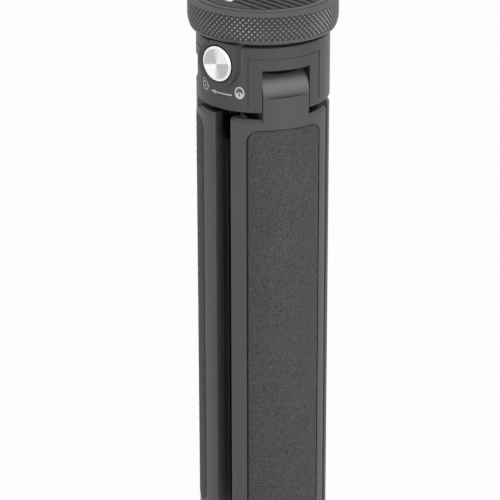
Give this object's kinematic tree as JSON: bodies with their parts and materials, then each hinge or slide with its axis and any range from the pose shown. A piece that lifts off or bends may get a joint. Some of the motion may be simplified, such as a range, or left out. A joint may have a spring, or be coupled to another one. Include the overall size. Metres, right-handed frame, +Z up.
{
  "type": "handheld mini tripod",
  "caption": "Slim tabletop tripod whose three hinged legs close into a round leather-faced grip under a collar with a release button and a knurled camera head on a bayonet.",
  "frame": {"origin": "on the grip's axis, at the floor under the closed feet", "axes": "+Z up along the axis of the closed grip towards the camera; -Y towards the pictured side, with +X to its right"},
  "size_m": [0.0462, 0.0462, 0.1907],
  "materials": {
    "black_aluminium": "fine bead-blasted black anodising, satin",
    "black_leather": "pebble-grained black leather",
    "black_rubber": "matte black rubber",
    "silver_button": "fine concentric turned face, bright",
    "steel": "machined steel",
    "bare_aluminium": "machined aluminium",
    "bronze": "sintered bronze",
    "slide_polymer": "natural low-friction polymer"
  },
  "bodies": {
    "collar": {"collar_shell": "black_aluminium", "hinge_core": "bare_aluminium", "hinge_pins": "steel", "shell_screws": "steel", "button_guide": "slide_polymer", "wave_washer": "steel", "thrust_washer": "slide_polymer"},
    "head": {"knurled_ring": "black_aluminium", "ring_screws": "steel", "top_plate": "black_aluminium", "grip_pad": "black_rubber", "camera_screw": "steel", "anti_twist_studs": "steel", "bayonet_hub": "bare_aluminium", "hub_screws": "steel"},
    "button": {"button_cap": "silver_button", "latch_plate": "steel", "latch_screws": "steel", "button_spring": "steel"},
    "front_leg": {"front_leg_frame": "black_aluminium", "front_leather_pad": "black_leather", "front_inner_cover": "black_aluminium", "front_foot_insert": "bare_aluminium", "front_foot": "black_rubber", "front_foot_screw": "steel", "front_hinge_bush": "bronze", "front_friction_washers": "slide_polymer"},
    "right_rear_leg": {"right_rear_leg_frame": "black_aluminium", "right_rear_leather_pad": "black_leather", "right_rear_inner_cover": "black_aluminium", "right_rear_foot_insert": "bare_aluminium", "right_rear_foot": "black_rubber", "right_rear_foot_screw": "steel", "right_rear_hinge_bush": "bronze", "right_rear_friction_washers": "slide_polymer"},
    "left_leg": {"left_leg_frame": "black_aluminium", "left_leather_pad": "black_leather", "left_inner_cover": "black_aluminium", "left_foot_insert": "bare_aluminium", "left_foot": "black_rubber", "left_foot_screw": "steel", "left_hinge_bush": "bronze", "left_friction_washers": "slide_polymer"}
  },
  "joints": [
    {"name": "front_leg_hinge", "type": "hinge", "parent": "collar", "child": "front_leg", "pos_m": [0.00399, -0.01015, 0.1574], "axis": [-0.9307, -0.3657, 0], "range_deg": [0, 60]},
    {"name": "right_rear_leg_hinge", "type": "hinge", "parent": "collar", "child": "right_rear_leg", "pos_m": [0.00679, 0.00852, 0.1574], "axis": [0.7821, -0.6232, 0], "range_deg": [0, 60]},
    {"name": "left_leg_hinge", "type": "hinge", "parent": "collar", "child": "left_leg", "pos_m": [-0.01078, 0.00162, 0.1574], "axis": [0.1487, 0.9889, 0], "range_deg": [0, 60]},
    {"name": "head_turn", "type": "hinge", "parent": "collar", "child": "head", "pos_m": [0, 0, 0.175], "axis": [0, 0, 1], "range_deg": [-30, 0]},
    {"name": "button_press", "type": "slide", "parent": "collar", "child": "button", "axis": [0.6232, 0.7821, 0], "range_m": [0, 0.0018], "stiffness_N_per_m": 600, "springref_m": -0.0015, "deforming": ["button_spring"]}
  ]
}
